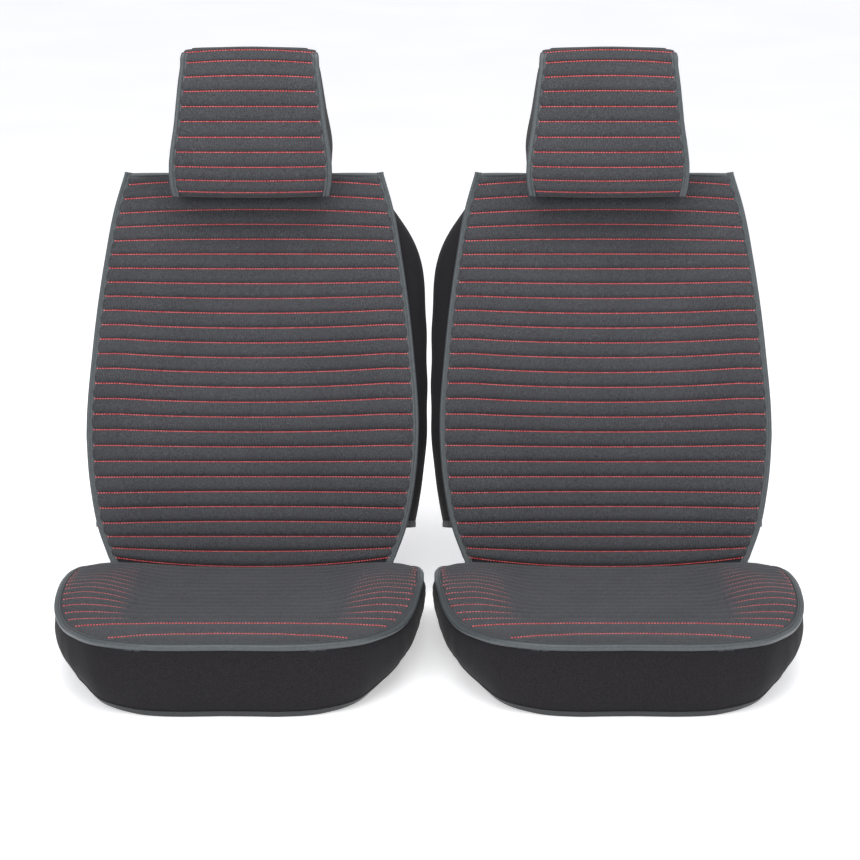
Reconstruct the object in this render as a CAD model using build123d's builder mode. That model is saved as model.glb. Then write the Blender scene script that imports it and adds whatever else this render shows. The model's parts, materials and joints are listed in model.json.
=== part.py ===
"""Two mirrored seat covers: cushion cover, back cover and headrest hood for each seat.

Millimetres. X runs across the pair, Y runs rearwards, Z is up. The origin is midway between
the covers, under the middle of their depth, level with the lowest edge of the skirts.
Each piece is drawn once, for a seat centred on X = 0 with its inner side at +X, and placed
twice by write_pair: moved to the left seat, and mirrored for the right one.
"""

import os
from math import cos, radians, sin

from build123d import *

# Driving dimensions of the seats that the covers fit
seat_x = 288.0  # seat centre from the middle of the pair
bite_y = 85.0  # where the cushion meets the back, along Y
bite_z = 75.0  # height of the bite above the lowest hem
recline = 20.0  # back panel from the vertical
cushion_tilt = 6.0  # cushion, nose up
back_depth = 128.0  # seat back with its cover, front to rear

# Thicknesses and widths of the cloths
pad_thick = 10.0  # quilted face: cloth, foam and lining
cloth_thick = 2.0
liner_thick = 1.5
binding_wide = 11.0
binding_proud = 1.5  # binding stands out of the pad on both faces
webbing_wide = 25.0
webbing_thick = 1.6
hem_wide = 10.0
hem_proud = 0.8

# Cushion cover
cushion_half = 279.0
cushion_rear = -14.0  # rear edge of the pad, from the bite
cushion_nose = -492.0  # front edge of the pad, from the bite
cushion_top_z = 70.5  # where the sloping top would meet the bite
cushion_drop = 20.0  # from the top down to the edge of the pad
skirt_high = 150.0  # the skirt is drawn up to here, then cut off under the binding
skirt_rear = -30.0  # rear end of the skirt's sides, from the bite
hem_scale = 0.935  # the skirt draws in towards its hem

# Back cover: half widths of the pad up its height, and how much farther the seat stands out
back_high = 632.0
back_half = [(232, 0), (249, 46), (262, 108), (270, 195), (262, 340), (243, 492), (228, 575),
             (212, back_high)]
inner_bulge = [8, 9, 9, 10, 18, 28, 28, 20]
outer_bulge = [6, 6, 6, 6, 6, 6, 4, 2]
sock_front = 10.3  # the stretch sides start behind the pad
sock_split = 104.0  # depth at which the side panels meet the rear panel
shoulder = 598.0  # height at which the side panels meet the top panel
shoulder_from = 500.0  # the seat's shoulders fall away above this height
sock_foot = 62.0  # lower edge of the stretch cloth, above its elastic hem
post_radius = 7.5
post_x = 68.0
post_long = 29.0
post_y = 260.0  # middle of the post slots, from the bite
pocket_wide = 300.0
pocket_high = 220.0
pocket_foot = 200.0
pocket_deep = 13.0
pocket_wall = 2.0
pocket_corner = 24.0
pocket_trim_high = 8.0
flap_wide = 430.0
flap_depth = 132.3  # the flap comes up behind the rear panel
tape_wide = 284.0
tape_thick = 1.6
tape_high = 24.0
tape_v = 82.0

# Headrest hood
head_y = 140.0  # front face at the foot, from the bite
head_z = 650.0
head_tilt = 8.5
head_high = 236.0
head_pad_deep = 14.0
head_rim_deep = 25.0
head_far = 130.0
head_wall = 9.0
head_binding_wall = 6.0
head_binding_top = 212.0  # the side bindings end at the top corners
hood_low = -4.0  # front of the bottom opening
hood_slope = 0.5  # rise of the bottom opening towards the rear
hood_inset = 3.0  # the stretch back lies inside the pad's edge

# Straps, buckles and hooks
strap_x = 120.0
strap_z = 9.0
flap_z = 11.2  # the rear flap's foot lies over the straps
buckle_wide = 34.0
buckle_high = 11.0
buckle_wall = 2.2
socket_y = -300.0  # front end of the socket, from the bite
socket_long = 32.0
buckle_corner = 4.0
window_y = 20.0  # side windows of the socket, for the releases
window_long = 9.0
web_bar = 4.0
web_slot = 6.0
bar_high = 3.5  # the two bars that hold the webbing lie one above and one below it
running_gap = 0.5
prong_long = 20.0
prong_x = 11.0
prong_wide = 4.0
barb_long = 7.0
barb_corner = 1.5
rear_strap_to = -26.0  # rear end of the rear straps, under the flap
plug_block = 8.0
plug_gap = 0.4  # between the socket's mouth and the plug's shoulder
front_strap_from = -474.0  # front end of the front straps, in the skirt's hem
hook_x = 248.0
hook_y = -62.0
hook_z = 30.0
hook_radius = 5.0
hook_thick = 3.0
hook_wide = 12.0
hook_drop = 14.4  # from the eye to the middle of the hook's curve
bow_drop = 9.0  # from the eye to the foot of the bow that carries the hook
bow_wide = 26.0
bow_wall = 3.0
tab_leg = 22.0
tab_wide = 18.0
eye_radius = 2.0

# Limits of the blocks that cut the forms, past any cloth
reach = 300.0  # to either side of a cover's middle
far_in = 20.0  # before and behind the back's face
behind = 200.0  # behind the back's face
over_back = 700.0  # above the back's top
over_head = 260.0  # above the headrest's foot

# Planes of the three units
slope = radians(recline)
lean = radians(head_tilt)
panel_foot = (0, bite_y + 4, bite_z)
head_foot = (0, bite_y + head_y, head_z)
tilt = radians(cushion_tilt)
cushion_side = Plane(origin=(0, bite_y, 0), x_dir=(0, 1, 0), z_dir=(1, 0, 0))
cushion_top = Plane((0, bite_y, cushion_top_z), x_dir=(1, 0, 0), z_dir=(0, sin(tilt), cos(tilt)))
back_plane = Plane(origin=panel_foot, x_dir=(1, 0, 0), z_dir=(0, -cos(slope), sin(slope)))
back_side = Plane(origin=panel_foot, x_dir=(0, cos(slope), -sin(slope)), z_dir=(1, 0, 0))
head_side = Plane(origin=head_foot, x_dir=(0, cos(lean), -sin(lean)), z_dir=(1, 0, 0))
head_level = Plane(origin=head_foot, x_dir=(1, 0, 0), z_dir=(0, sin(lean), cos(lean)))

os.makedirs("parts", exist_ok=True)


def write_pair(piece, label):
    """Write one piece as the left cover's node and, mirrored, as the right cover's."""
    left = piece.moved(Location((-seat_x, 0, 0)))
    right = mirror(left, about=Plane.YZ)
    for side, solid in (("left", left), ("right", right)):
        solid.label = f"{side}_{label}"
        export_step(solid, f"parts/{side}_{label}.step")


def write_two(piece, label):
    """Write a piece of the inner side, and its mirror image as the outer one."""
    write_pair(piece, f"{label}_inner")
    write_pair(mirror(piece, about=Plane.YZ), f"{label}_outer")


# Outlines and forms that several pieces share


def cushion_outline(plane, scale=1.0):
    """Plan of the cushion, scaled towards its straight rear edge; big round front corners."""
    side = [(238, -14), (265, -34), (276, -80), (279, -150), (275, -240), (263, -335),
            (249, -378), (229, -416), (194, -460), (146, -483)]
    right = [(x * scale, cushion_rear + (y - cushion_rear) * scale) for x, y in side]
    nose = (0, cushion_rear + (cushion_nose - cushion_rear) * scale)
    left = [(-x, y) for x, y in reversed(right)]
    with BuildSketch(plane) as outline:
        with BuildLine():
            Spline(*right, nose, *left)
            Line(left[-1], right[0])
        make_face()
    return outline.sketch


def cushion_form(depth):
    """Form of the cushion, its top edge rounded over into a waterfall, at a depth inside it."""
    with BuildPart() as form:
        for drop, scale in [(0, 0.90), (3, 0.94), (9, 0.972), (20, 1.0), (44, 1.004)]:
            level = cushion_top.offset(-drop - depth)
            add(cushion_outline(level, scale - depth / cushion_half))
        loft()
    return form.part


def cushion_layer(low, high):
    """Everything between two depths under the cushion's sloping top."""
    with BuildPart() as layer:
        with BuildSketch(cushion_top.offset(-high)):
            Rectangle(4 * cushion_half, 8 * cushion_half)
        extrude(amount=high - low)
    return layer.part


def skirt_form(inset):
    """Solid inside the skirt's outer face, drawn in by inset, from the floor to its top."""
    smaller = inset / cushion_half
    with BuildPart() as form:
        add(cushion_outline(Plane((0, bite_y, 0)), hem_scale - smaller))
        add(cushion_outline(Plane((0, bite_y, skirt_high)), 1.02 - smaller))
        loft()
        with BuildSketch(Plane((0, bite_y, 0))):
            with Locations((0, skirt_rear / 2 + 50)):
                Rectangle(4 * cushion_half, 100 - skirt_rear)
        extrude(amount=skirt_high, mode=Mode.SUBTRACT)
    return form.part


def hem_line(rise):
    """Side view of all that lies under the hem: low at the front, rising to the sides."""
    low, high = -60, 34
    with BuildSketch(cushion_side.offset(-reach)) as under:
        with BuildLine():
            Line((-560, low), (-560, rise))
            Line((-560, rise), (-462, rise))
            Spline((-462, rise), (-400, rise + 17), (-290, rise + 31), (-180, high + rise),
                   tangents=[(1, 0), (1, 0)])
            Line((-180, high + rise), (60, high + rise))
            Line((60, high + rise), (60, low))
            Line((60, low), (-560, low))
        make_face()
    return under.sketch


def back_outline(depth, grow=0.0, trim=0.0, round_off=0.0, bulge=0.0):
    """Outline of the back cover at a depth behind its face; round_off lowers the shoulders."""
    right, left = [], []
    for (x, v), inner, outer in zip(back_half, inner_bulge, outer_bulge):
        lowered = 1.0 if v == back_high else 0.5 if v > shoulder_from else 0.0
        half = x + grow - lowered * round_off
        height = v - trim if lowered else v
        right.append((half + bulge * inner, height))
        left.append((-half - bulge * outer, height))
    left.reverse()
    with BuildSketch(back_plane.offset(-depth)) as outline:
        with BuildLine():
            Spline(*right)
            Line(right[-1], left[0])
            Spline(*left)
            Line(left[-1], right[0])
        make_face()
    return outline.sketch


def back_sock(inset):
    """Form of the stretch cover behind the face, over the seat's fuller sides, drawn in by inset."""
    stations = [(sock_front, -2, 3, 0, 0), (45, 1, -6, 40, 1), (95, -1, 0, 52, 0.9),
                (114, -10, 14, 60, 0.6), (back_depth - inset, -40, 46, 70, 0)]
    with BuildPart() as form:
        for depth, grow, trim, round_off, bulge in stations:
            add(back_outline(depth, grow - inset, trim + inset, round_off, bulge))
        loft()
    return form.part


def back_block(x, v, wide, high, near, far):
    """Block in the back cover's frame: its centre, its size, and its two depths."""
    with BuildPart() as block:
        with BuildSketch(back_plane.offset(-far)):
            with Locations((x, v)):
                Rectangle(wide, high)
        extrude(amount=far - near)
    return block.part


def head_form(inset):
    """Form of the headrest hood, a rounded block with a domed top, drawn in by inset."""
    stations = [(-8, 133, 5, 106, 26), (14, 137, 0, 108, 26), (120, 128, -2, 104, 28),
                (200, 119, 1, 92, 26), (226, 107, 11, 80, 20), (head_high - inset, 84, 24, 64, 14)]
    with BuildPart() as form:
        for level, half, near, far, corner in stations:
            with BuildSketch(head_level.offset(level)):
                with Locations((0, (near + far) / 2)):
                    RectangleRounded(2 * (half - inset), far - near - 2 * inset, corner - inset)
        loft()
    return form.part


def head_zone(near, far, low, high):
    """Slice of the hood between two depths and above its sloping bottom opening."""
    with BuildPart() as zone:
        with BuildSketch(head_side.offset(-reach)):
            with BuildLine():
                Polyline((near, low + near * hood_slope), (far, low + far * hood_slope),
                         (far, high), (near, high), close=True)
            make_face()
        extrude(amount=2 * reach, dir=(1, 0, 0))
    return zone.part


# Cushion cover

with BuildPart() as cushion_pad:
    add(cushion_form(0))
    add(cushion_form(pad_thick), mode=Mode.SUBTRACT)
    add(cushion_layer(-1, cushion_drop), mode=Mode.INTERSECT)

with BuildPart() as cushion_binding:
    add(cushion_form(-binding_proud))
    add(cushion_form(pad_thick + binding_proud), mode=Mode.SUBTRACT)
    rim = cushion_drop + binding_proud
    add(cushion_layer(pad_thick + binding_proud, rim), mode=Mode.INTERSECT)
    add(cushion_pad.part, mode=Mode.SUBTRACT)

with BuildPart() as cushion_grip_liner:
    add(cushion_outline(cushion_top.offset(-pad_thick - liner_thick), 0.86))
    extrude(amount=liner_thick, dir=cushion_top.z_dir)

with BuildPart() as cushion_skirt:
    add(skirt_form(3))
    add(skirt_form(3 + cloth_thick), mode=Mode.SUBTRACT)
    add(cushion_layer(-2 * skirt_high, cushion_drop + binding_proud), mode=Mode.SUBTRACT)
    add(hem_line(hem_wide))
    extrude(amount=2 * reach, dir=(1, 0, 0), mode=Mode.SUBTRACT)

with BuildPart() as cushion_hem:
    add(skirt_form(3 - hem_proud))
    add(skirt_form(3 + cloth_thick + hem_proud), mode=Mode.SUBTRACT)
    add(hem_line(hem_wide))
    extrude(amount=2 * reach, dir=(1, 0, 0), mode=Mode.INTERSECT)
    add(hem_line(0))
    extrude(amount=2 * reach, dir=(1, 0, 0), mode=Mode.SUBTRACT)

with BuildPart() as cushion_rear_flap:
    with BuildSketch(cushion_side):
        with BuildLine() as drop:
            FilletPolyline((-26, 60), (-12, 58), (-10, 24), (-20, flap_z), (-44, flap_z), radius=6)
        trace(line_width=cloth_thick)
    extrude(amount=205, both=True)

write_pair(cushion_pad.part, "cushion_pad")
write_pair(cushion_binding.part, "cushion_binding")
write_pair(cushion_grip_liner.part, "cushion_grip_liner")
write_pair(cushion_skirt.part, "cushion_skirt")
write_pair(cushion_hem.part, "cushion_hem")
write_pair(cushion_rear_flap.part, "cushion_rear_flap")

# Straps under the cushion, with side-release buckles

strap_plane = Plane((0, bite_y + socket_y, strap_z))
plug_start = socket_long + plug_gap
ladder_end = plug_start + plug_block + 2 * (web_slot + web_bar)

with BuildPart() as cushion_front_straps:
    front_strap_to = socket_y + web_bar + 1
    strap_middle = bite_y + (front_strap_from + front_strap_to) / 2
    with Locations((strap_x, strap_middle, strap_z), (-strap_x, strap_middle, strap_z)):
        Box(webbing_wide, front_strap_to - front_strap_from, webbing_thick)
    add(skirt_form(3 + cloth_thick + hem_proud), mode=Mode.INTERSECT)

with BuildPart() as cushion_rear_strap:
    rear_strap_from = socket_y + plug_start + plug_block + 2
    with Locations((strap_x, bite_y + (rear_strap_from + rear_strap_to) / 2, strap_z)):
        Box(webbing_wide, rear_strap_to - rear_strap_from, webbing_thick)

with BuildPart() as cushion_buckle_socket:
    with BuildSketch(strap_plane.offset(-buckle_high / 2)):
        with Locations((strap_x, socket_long / 2)):
            RectangleRounded(buckle_wide, socket_long, buckle_corner)
    extrude(amount=buckle_high)
    with BuildSketch(strap_plane.offset(-buckle_high / 2 + buckle_wall)):
        with Locations((strap_x, socket_long / 2 + web_bar + web_slot)):
            Rectangle(buckle_wide - 2 * buckle_wall - 1, socket_long)
    extrude(amount=buckle_high - 2 * buckle_wall, mode=Mode.SUBTRACT)
    with BuildSketch(strap_plane.offset(-buckle_high / 2)):
        with Locations((strap_x, web_bar + web_slot / 2)):
            Rectangle(webbing_wide + 1.5, web_slot - 1)
    extrude(amount=buckle_high, mode=Mode.SUBTRACT)
    with BuildSketch(strap_plane.offset(-buckle_high / 2 + buckle_wall)):
        with Locations((strap_x, window_y)):
            Rectangle(buckle_wide + 2, window_long)
    extrude(amount=buckle_high - 2 * buckle_wall, mode=Mode.SUBTRACT)
    add(cushion_front_straps.part, mode=Mode.SUBTRACT)

with BuildPart() as cushion_buckle_sockets:
    add(cushion_buckle_socket.part)
    mirror(about=Plane.YZ)

with BuildPart() as cushion_plug:
    prong_high = buckle_high - 2 * buckle_wall - 2 * running_gap
    with BuildSketch(strap_plane.offset(-buckle_high / 2)):
        with Locations((strap_x, (plug_start + ladder_end) / 2)):
            Rectangle(buckle_wide, ladder_end - plug_start)
            Rectangle(webbing_wide + 2, ladder_end - plug_start, mode=Mode.SUBTRACT)
        with Locations((strap_x, plug_start + plug_block / 2)):
            Rectangle(buckle_wide, plug_block)
    extrude(amount=buckle_high)
    with BuildSketch(strap_plane.offset(-buckle_high / 2)):
        with Locations((strap_x, plug_start + plug_block + web_slot + web_bar / 2)):
            Rectangle(buckle_wide, web_bar)
    extrude(amount=bar_high)
    with BuildSketch(strap_plane.offset(buckle_high / 2 - bar_high)):
        with Locations((strap_x, ladder_end - web_bar / 2)):
            Rectangle(buckle_wide, web_bar)
    extrude(amount=bar_high)
    with BuildSketch(strap_plane.offset(-prong_high / 2)):
        for x in (-prong_x, 0, prong_x):
            with Locations((strap_x + x, plug_start - prong_long / 2)):
                Rectangle(prong_wide, prong_long)
        for x in (-prong_x - 1, prong_x + 1):
            with Locations((strap_x + x, plug_start - prong_long + barb_long / 2)):
                RectangleRounded(prong_wide, barb_long, barb_corner)
    extrude(amount=prong_high)

write_pair(cushion_front_straps.part, "cushion_front_straps")
write_two(cushion_rear_strap.part, "cushion_rear_strap")
write_pair(cushion_buckle_sockets.part, "cushion_buckle_sockets")
write_two(cushion_plug.part, "cushion_plug")

# Hooks for the seat frame, on webbing tabs at the side hems

hook_side = Plane(origin=(hook_x, bite_y + hook_y, hook_z), x_dir=(1, 0, 0), z_dir=(0, -1, 0))

with BuildPart() as cushion_hook_tab:
    tab_radius = eye_radius + 0.6
    with BuildSketch(hook_side):
        Circle(tab_radius + webbing_thick)
        with Locations((0, tab_leg / 2)):
            Rectangle(2 * (tab_radius + webbing_thick), tab_leg)
        Circle(tab_radius, mode=Mode.SUBTRACT)
        with Locations((0, tab_leg / 2)):
            Rectangle(2 * tab_radius, tab_leg + 1, mode=Mode.SUBTRACT)
    extrude(amount=tab_wide / 2, both=True)
    add(skirt_form(3 + cloth_thick + hem_proud), mode=Mode.INTERSECT)

with BuildPart() as cushion_hook_tabs:
    add(cushion_hook_tab.part)
    mirror(about=Plane.YZ)

with BuildPart() as cushion_hook:
    bow_radius = eye_radius + 0.5
    with BuildSketch(hook_side):
        Circle(eye_radius)
        with Locations((0, -bow_drop / 2)):
            SlotCenterToCenter(bow_drop, 2 * bow_radius, rotation=90)
    extrude(amount=bow_wide / 2, both=True)
    with BuildSketch(hook_side):
        with Locations((0, -2)):
            Rectangle(12, 11)
        Circle(eye_radius, mode=Mode.SUBTRACT)
    extrude(amount=bow_wide / 2 - bow_wall, both=True, mode=Mode.SUBTRACT)
    with BuildSketch(hook_side):
        with Locations((0, -bow_drop)):
            RectangleRounded(hook_thick, 5, 1)
    extrude(amount=bow_wide / 2 - 1, both=True)
    with BuildSketch(hook_side):
        with Locations((-hook_radius - hook_thick / 2, -hook_drop)):
            Circle(hook_radius + hook_thick)
            Circle(hook_radius, mode=Mode.SUBTRACT)
            with Locations((-3, 7.5)):
                Rectangle(13, 13, mode=Mode.SUBTRACT)
        with Locations((0, -bow_drop - hook_thick)):
            Rectangle(hook_thick, 5)
    extrude(amount=hook_wide / 2, both=True)

write_pair(cushion_hook_tabs.part, "cushion_hook_tabs")
write_two(cushion_hook.part, "cushion_hook")

# Back cover

with BuildPart() as back_pad:
    add(back_outline(pad_thick, -2, 2))
    extrude(amount=pad_thick, dir=back_plane.z_dir)

with BuildPart() as back_binding:
    add(back_outline(pad_thick + binding_proud))
    extrude(amount=pad_thick + 2 * binding_proud, dir=back_plane.z_dir)
    add(back_outline(pad_thick + binding_proud, -binding_wide, binding_wide))
    extrude(amount=pad_thick + 2 * binding_proud, dir=back_plane.z_dir, mode=Mode.SUBTRACT)
    open_foot = 2 * (back_half[0][0] - binding_wide) - 2
    add(back_block(0, 0, open_foot, 3 * binding_wide, -far_in, far_in), mode=Mode.SUBTRACT)
    add(back_pad.part, mode=Mode.SUBTRACT)

with BuildPart() as back_shell:
    add(back_sock(0))
    add(back_sock(cloth_thick), mode=Mode.SUBTRACT)
    add(back_block(0, sock_foot + reach, 2 * reach, 2 * reach, sock_front, behind), mode=Mode.INTERSECT)
    add(back_binding.part, mode=Mode.SUBTRACT)

with BuildPart() as back_gusset_inner:
    add(back_shell.part)
    add(back_block(reach / 2, shoulder / 2, reach, shoulder, sock_front, sock_split), mode=Mode.INTERSECT)

with BuildPart() as back_gusset_outer:
    add(back_shell.part)
    add(back_block(-reach / 2, shoulder / 2, reach, shoulder, sock_front, sock_split), mode=Mode.INTERSECT)

with BuildPart() as back_top_panel:
    add(back_shell.part)
    add(back_block(0, shoulder + 50, 2 * reach, 100, sock_front, sock_split), mode=Mode.INTERSECT)
    with BuildSketch(Plane((0, 0, over_back))):
        with Locations((-post_x, bite_y + post_y), (post_x, bite_y + post_y)):
            SlotCenterToCenter(post_long - 2 * post_radius, 2 * post_radius, rotation=90)
    extrude(amount=-100, mode=Mode.SUBTRACT)

with BuildPart() as back_rear_panel:
    add(back_shell.part)
    add(back_block(0, back_high / 2, 2 * reach, 1.1 * back_high, sock_split, behind), mode=Mode.INTERSECT)

with BuildPart() as back_hem:
    add(back_sock(-hem_proud))
    add(back_sock(cloth_thick + hem_proud), mode=Mode.SUBTRACT)
    hem_middle = sock_foot - hem_wide / 2
    add(back_block(0, hem_middle, 2 * reach, hem_wide, sock_front + 2, behind), mode=Mode.INTERSECT)

with BuildPart() as back_pocket:
    pocket_middle = pocket_foot + pocket_high / 2
    pocket_rear = back_depth + pocket_deep
    add(back_block(0, pocket_middle, pocket_wide, pocket_high, back_depth, pocket_rear))
    fillet(edges().filter_by(Axis(panel_foot, back_plane.z_dir)).group_by(Axis.Z)[0], radius=pocket_corner)
    add(back_block(0, pocket_middle + pocket_wall, pocket_wide - 2 * pocket_wall, pocket_high,
                   back_depth, pocket_rear - pocket_wall), mode=Mode.SUBTRACT)

with BuildPart() as back_pocket_binding:
    pocket_top = pocket_foot + pocket_high
    add(back_block(0, pocket_top - 3, pocket_wide, pocket_trim_high,
                   pocket_rear - pocket_wall - 1, pocket_rear + 1))
    add(back_pocket.part, mode=Mode.SUBTRACT)

with BuildPart() as back_tuck_flap:
    with BuildSketch(back_side):
        with BuildLine():
            FilletPolyline((5, -1.4), (5, -12), (22, -22), (104, -22), (flap_depth, 6),
                           (flap_depth, tape_v + tape_high / 2), radius=8)
        trace(line_width=cloth_thick)
    extrude(amount=flap_wide / 2, both=True)

with BuildPart() as back_closure_tape:
    hook_from = flap_depth - cloth_thick / 2 - tape_thick
    add(back_block(0, tape_v, tape_wide, tape_high, back_depth, back_depth + tape_thick))
    add(back_block(0, tape_v, tape_wide, tape_high, hook_from, hook_from + tape_thick))

write_pair(back_pad.part, "back_pad")
write_pair(back_binding.part, "back_binding")
write_pair(back_gusset_inner.part, "back_gusset_inner")
write_pair(back_gusset_outer.part, "back_gusset_outer")
write_pair(back_top_panel.part, "back_top_panel")
write_pair(back_rear_panel.part, "back_rear_panel")
write_pair(back_hem.part, "back_hem")
write_pair(back_pocket.part, "back_pocket")
write_pair(back_pocket_binding.part, "back_pocket_binding")
write_pair(back_tuck_flap.part, "back_tuck_flap")
write_pair(back_closure_tape.part, "back_closure_tape")

# Headrest hood

with BuildPart() as headrest_pad:
    add(head_form(0))
    add(head_form(head_wall), mode=Mode.SUBTRACT)
    add(head_zone(-far_in, head_pad_deep, hood_low, over_head), mode=Mode.INTERSECT)

with BuildPart() as headrest_binding:
    add(head_form(-binding_proud))
    add(head_form(head_binding_wall), mode=Mode.SUBTRACT)
    add(head_zone(head_pad_deep, head_rim_deep, hood_low, head_binding_top), mode=Mode.INTERSECT)

with BuildPart() as headrest_back:
    add(head_form(hood_inset))
    add(head_form(hood_inset + cloth_thick), mode=Mode.SUBTRACT)
    add(head_zone(head_pad_deep, head_far, hood_low + hem_wide, over_head), mode=Mode.INTERSECT)
    add(headrest_binding.part, mode=Mode.SUBTRACT)

with BuildPart() as headrest_hem:
    add(head_form(hood_inset - hem_proud))
    add(head_form(hood_inset + cloth_thick + hem_proud), mode=Mode.SUBTRACT)
    add(head_zone(head_pad_deep, head_far, hood_low, over_head), mode=Mode.INTERSECT)
    add(head_zone(0, head_far + far_in, hood_low + hem_wide, over_head + far_in), mode=Mode.SUBTRACT)
    add(headrest_binding.part, mode=Mode.SUBTRACT)

write_pair(headrest_pad.part, "headrest_pad")
write_pair(headrest_binding.part, "headrest_binding")
write_pair(headrest_back.part, "headrest_back")
write_pair(headrest_hem.part, "headrest_hem")
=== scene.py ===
"""Looks of the seat cover set: quilted pads, piping, stretch sides, straps, floor, light, camera.

Lengths in the shape code are millimetres in one cover's own frame: X = 0 is the middle of the
seat and +X its inner side. build() turns them into metres in the row frame, for each side.
"""

import json
import math

import bmesh
import bpy
import numpy as np
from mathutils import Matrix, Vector


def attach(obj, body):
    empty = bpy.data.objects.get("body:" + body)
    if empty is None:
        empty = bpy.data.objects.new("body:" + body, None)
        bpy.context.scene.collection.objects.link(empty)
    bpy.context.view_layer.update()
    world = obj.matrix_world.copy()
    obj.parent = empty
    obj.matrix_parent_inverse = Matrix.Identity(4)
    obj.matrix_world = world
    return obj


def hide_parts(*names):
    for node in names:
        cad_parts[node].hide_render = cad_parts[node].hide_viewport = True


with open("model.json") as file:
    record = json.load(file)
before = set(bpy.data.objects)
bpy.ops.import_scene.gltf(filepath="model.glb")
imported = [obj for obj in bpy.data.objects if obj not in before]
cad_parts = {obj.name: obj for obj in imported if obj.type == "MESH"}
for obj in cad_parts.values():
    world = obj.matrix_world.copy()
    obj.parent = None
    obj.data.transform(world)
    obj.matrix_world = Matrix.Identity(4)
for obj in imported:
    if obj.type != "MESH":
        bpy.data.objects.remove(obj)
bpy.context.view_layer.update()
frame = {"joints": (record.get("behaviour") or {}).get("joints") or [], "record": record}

MM = 0.001
SIDES = (("left", -1.0), ("right", 1.0))
hinge = next(j for j in frame["joints"] if j["name"] == "left_recline")
SEAT_X = -hinge["pos_m"][0] * 1000
BITE_Y = hinge["pos_m"][1] * 1000 - 6.0
rng = np.random.default_rng(7)

# Planes of the three units, as in the CAD source
RECLINE, LEAN, TILT = math.radians(20.0), math.radians(8.5), math.radians(6.0)
BACK_FOOT, HEAD_FOOT = (BITE_Y + 4.0, 75.0), (BITE_Y + 140.0, 650.0)
CUSHION_TOP = 70.5
CUSHION_REAR = -14.0
BACK_HIGH = 632.0
PITCH = 24.4  # between quilting lines
STITCH = 4.4  # between stitches
PAD_THICK = 9.0
JERSEY_THICK = 1.5
PLAIN_THICK = 1.4
RED_LONG, RED_THICK = 3.1, 1.8  # one red stitch
LOCK_LONG, LOCK_THICK, LOCK_PITCH = 2.9, 1.6, 4.0  # black stitches that hold the bindings


# Small mathematics ------------------------------------------------------------------------


def curve(x, knots, values):
    """Smooth curve through knots."""
    knots, values = np.array(knots, float), np.array(values, float)
    slopes = np.gradient(values, knots)
    x = np.clip(x, knots[0], knots[-1])
    i = np.clip(np.searchsorted(knots, x) - 1, 0, len(knots) - 2)
    wide = knots[i + 1] - knots[i]
    t = (x - knots[i]) / wide
    return ((2 * t**3 - 3 * t**2 + 1) * values[i] + (t**3 - 2 * t**2 + t) * wide * slopes[i]
            + (3 * t**2 - 2 * t**3) * values[i + 1] + (t**3 - t**2) * wide * slopes[i + 1])


def ease(x, low, high):
    t = np.clip((np.asarray(x, float) - low) / (high - low), 0, 1)
    return t * t * (3 - 2 * t)


def back_point(x, v, depth):
    x, v, depth = np.broadcast_arrays(x, v, depth)
    y = BACK_FOOT[0] + v * math.sin(RECLINE) + depth * math.cos(RECLINE)
    z = BACK_FOOT[1] + v * math.cos(RECLINE) - depth * math.sin(RECLINE)
    return np.stack([x, y, z], -1)


def head_point(x, v, depth):
    x, v, depth = np.broadcast_arrays(x, v, depth)
    y = HEAD_FOOT[0] + v * math.sin(LEAN) + depth * math.cos(LEAN)
    z = HEAD_FOOT[1] + v * math.cos(LEAN) - depth * math.sin(LEAN)
    return np.stack([x, y, z], -1)


def cushion_point(x, y, drop):
    x, y, drop = np.broadcast_arrays(x, y, drop)
    return np.stack([x, BITE_Y + y * math.cos(TILT) - drop * math.sin(TILT),
                     CUSHION_TOP - y * math.sin(TILT) - drop * math.cos(TILT)], -1)


def unit(a):
    return a / np.maximum(np.linalg.norm(a, axis=-1, keepdims=True), 1e-9)


def spread(way, like):
    """One direction for every point."""
    return np.broadcast_to(way, like.shape)


def run_length(path):
    """Distance along a path to each of its points."""
    return np.concatenate([[0], np.cumsum(np.linalg.norm(np.diff(path, axis=0), axis=1))])


def grid_normals(p, wrap=False):
    across = (np.roll(p, -1, 1) - np.roll(p, 1, 1)) if wrap else np.gradient(p, axis=1)
    return unit(np.cross(across, np.gradient(p, axis=0)))


def waves(a, b, count, seed, low, high):
    """Soft folds: a few crossing sine waves, from about -1 to 1."""
    draw = np.random.default_rng(seed)
    total = np.zeros(np.broadcast(a, b).shape)
    for _ in range(count):
        turn, period = draw.uniform(-0.5, 0.5), draw.uniform(low, high)
        along = a * math.cos(turn) + b * math.sin(turn)
        total += draw.uniform(0.5, 1.0) * np.sin(2 * math.pi * along / period + draw.uniform(0, 6.3))
    return total / count


# Meshes -----------------------------------------------------------------------------------


def quads(rows, cols, wrap=False, start=0):
    r, c = np.meshgrid(np.arange(rows - 1), np.arange(cols if wrap else cols - 1), indexing="ij")
    right = (c + 1) % cols
    faces = np.stack([r * cols + c, r * cols + right, (r + 1) * cols + right, (r + 1) * cols + c], -1)
    return faces.reshape(-1, 4) + start


def slab(front, back, wrap=False, keep=None):
    """Closed skin of two grids of the same size, walled along every open edge."""
    rows, cols = front.shape[:2]
    n = rows * cols
    faces = quads(rows, cols, wrap)
    if keep is not None:
        faces = faces[keep]
    edges = {(int(a), int(b)) for face in faces for a, b in zip(face, np.roll(face, -1))}
    walls = [(b, a, a + n, b + n) for a, b in edges if (b, a) not in edges]
    every = np.concatenate([faces, faces[:, ::-1] + n, np.array(sorted(walls))])
    return np.concatenate([front.reshape(-1, 3), back.reshape(-1, 3)]), every


def sheet_skin(p, thick, wrap=False, keep=None):
    return slab(p, p - grid_normals(p, wrap) * thick, wrap, keep)


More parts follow.
